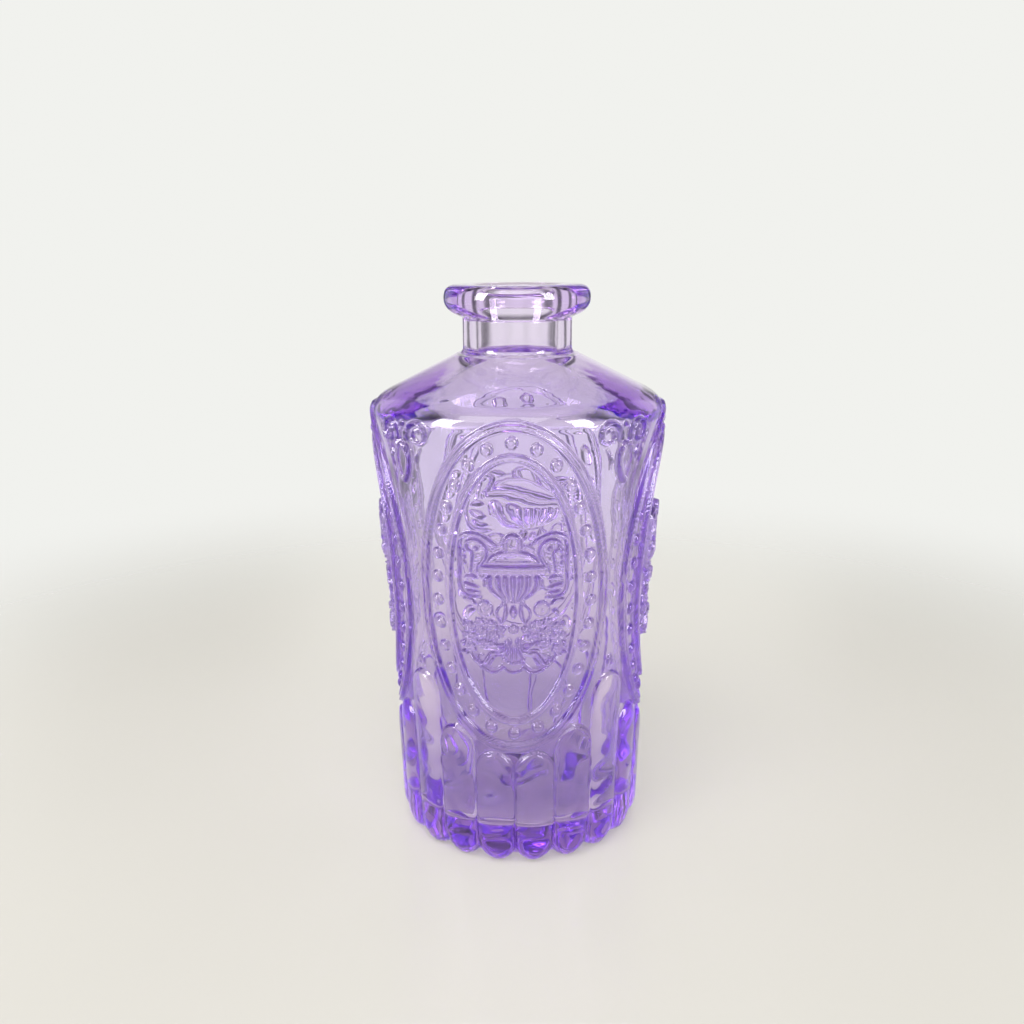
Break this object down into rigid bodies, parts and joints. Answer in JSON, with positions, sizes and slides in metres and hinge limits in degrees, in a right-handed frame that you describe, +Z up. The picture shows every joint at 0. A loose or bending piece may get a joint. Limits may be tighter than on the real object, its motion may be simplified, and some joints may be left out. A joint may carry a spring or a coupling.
{
  "type": "perfume bottle",
  "caption": "Open-mouthed moulded glass bottle with a ring lip, a sloping shoulder with a soft edge, oval beaded medallions holding an urn relief, and a round fluted foot.",
  "frame": {"origin": "centre of the foot, on the surface the bottle stands on", "axes": "+Z up along the neck, -Y towards the front medallion, +X towards the right medallion"},
  "size_m": [0.0608, 0.0608, 0.115],
  "materials": {
    "lavender_glass": "fire-polished moulded glass, tinted lavender to purple"
  },
  "bodies": {
    "root": {"base": "lavender_glass", "beads_back": "lavender_glass", "beads_front": "lavender_glass", "beads_left": "lavender_glass", "beads_right": "lavender_glass", "body_wall": "lavender_glass", "bracket_back": "lavender_glass", "bracket_front": "lavender_glass", "bracket_left": "lavender_glass", "bracket_right": "lavender_glass", "drop_back_left": "lavender_glass", "drop_back_right": "lavender_glass", "drop_front_left": "lavender_glass", "drop_front_right": "lavender_glass", "flowers_back": "lavender_glass", "flowers_front": "lavender_glass", "flowers_left": "lavender_glass", "flowers_right": "lavender_glass", "flutes_back_left": "lavender_glass", "flutes_back_right": "lavender_glass", "flutes_front_left": "lavender_glass", "flutes_front_right": "lavender_glass", "handles_back": "lavender_glass", "handles_front": "lavender_glass", "handles_left": "lavender_glass", "handles_right": "lavender_glass", "inner_frame_back": "lavender_glass", "inner_frame_front": "lavender_glass", "inner_frame_left": "lavender_glass", "inner_frame_right": "lavender_glass", "lip": "lavender_glass", "neck": "lavender_glass", "outer_frame_back": "lavender_glass", "outer_frame_front": "lavender_glass", "outer_frame_left": "lavender_glass", "outer_frame_right": "lavender_glass", "scrolls_back_left": "lavender_glass", "scrolls_back_right": "lavender_glass", "scrolls_front_left": "lavender_glass", "scrolls_front_right": "lavender_glass", "shoulder": "lavender_glass", "urn_back": "lavender_glass", "urn_front": "lavender_glass", "urn_left": "lavender_glass", "urn_right": "lavender_glass"}
  },
  "joints": []
}
